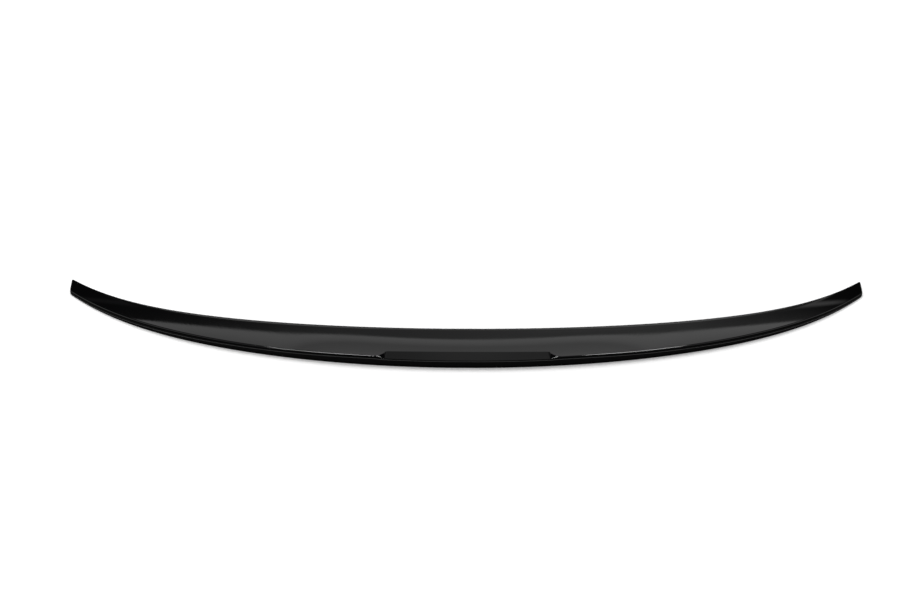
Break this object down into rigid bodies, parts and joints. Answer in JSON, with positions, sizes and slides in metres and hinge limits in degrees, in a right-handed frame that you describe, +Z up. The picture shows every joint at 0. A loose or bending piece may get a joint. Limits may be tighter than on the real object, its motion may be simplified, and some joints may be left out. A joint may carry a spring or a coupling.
{
  "type": "boot lid lip spoiler",
  "caption": "Gloss black rear lip spoiler for a saloon's boot lid: a crescent moulding with a hollow upswept top, a sharp trailing ridge and a shallow notch in its middle.",
  "frame": {"origin": "middle of the footprint, on the ground plane that the foot line of the trailing side rests on", "axes": "+X runs along the spoiler from the car's left to its right, -Y is the trailing side that faces away from the car, +Z is up"},
  "size_m": [1.2, 0.1803, 0.0197],
  "materials": {
    "shell": "high gloss, smooth"
  },
  "bodies": {
    "root": {"spoiler": "shell"}
  },
  "joints": []
}
